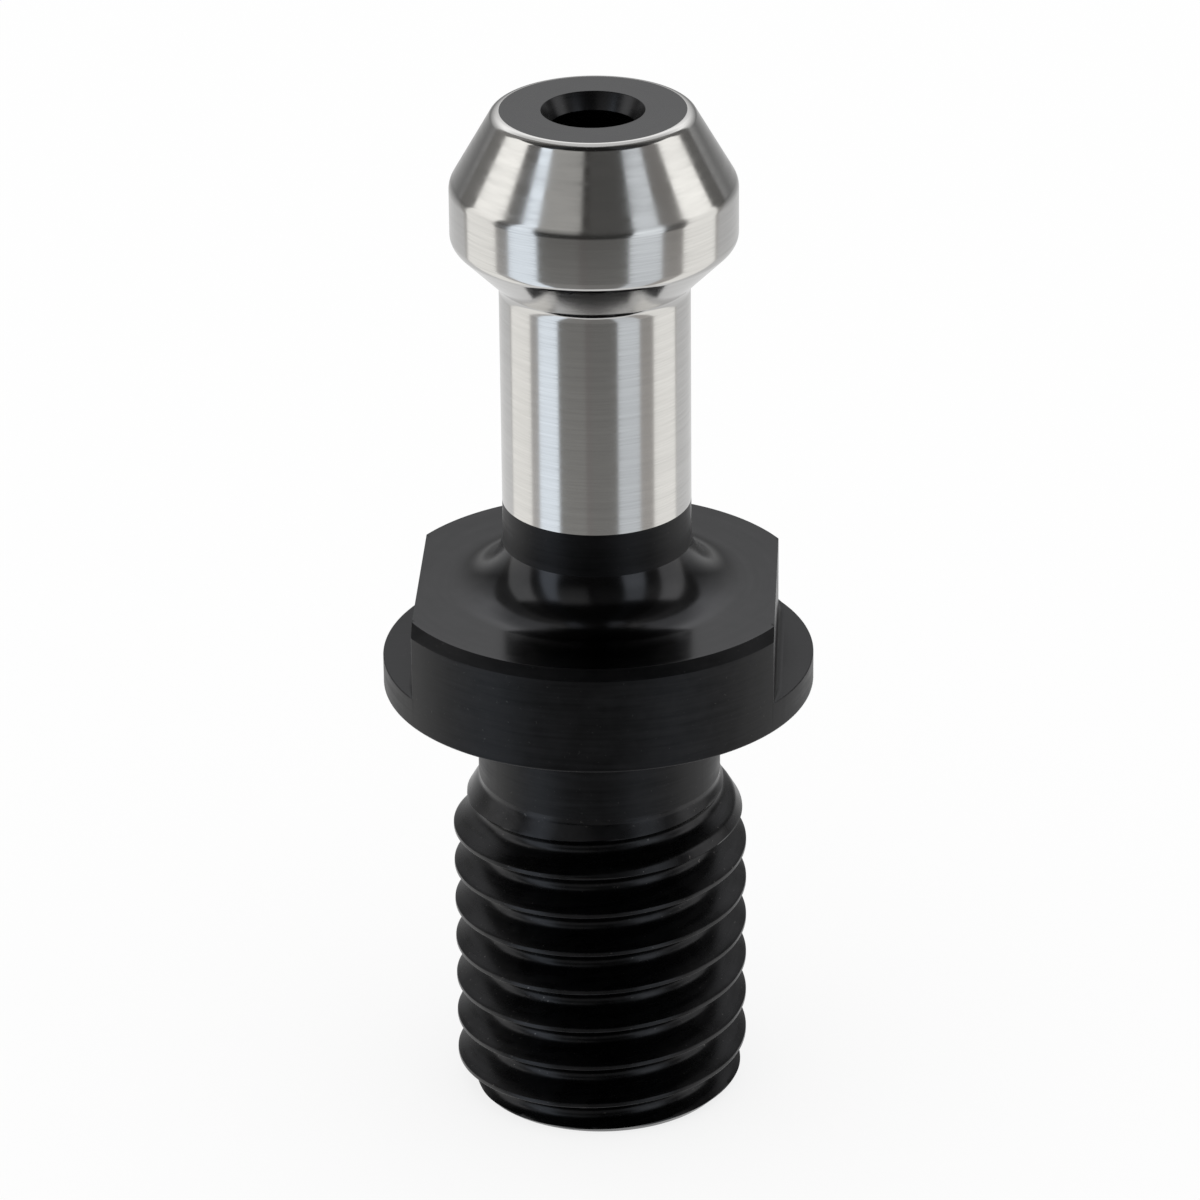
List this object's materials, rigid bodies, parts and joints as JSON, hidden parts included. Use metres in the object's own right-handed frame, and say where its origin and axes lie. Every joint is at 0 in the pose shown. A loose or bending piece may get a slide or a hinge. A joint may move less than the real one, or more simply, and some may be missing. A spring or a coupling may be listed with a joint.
{
  "type": "pull stud",
  "caption": "Pull stud for a milling toolholder: threaded shank, collar with two wrench flats, slim neck and a double-cone head with a through coolant bore.",
  "frame": {"origin": "centre of the threaded shank's end face, which is also the bottom of the bounding box", "axes": "+Z along the stud's axis from the thread towards the head; X is square to the two wrench flats"},
  "size_m": [0.023, 0.023, 0.0564],
  "materials": {
    "oxide_steel": "black oxide over turned and milled steel: shank, thread, collar, foot of the neck, head's top face",
    "ground_steel": "bright, cylindrically ground after blackening: upper neck, underside cone, land and top cone"
  },
  "bodies": {
    "root": {"pull_stud": "oxide_steel"}
  },
  "joints": []
}
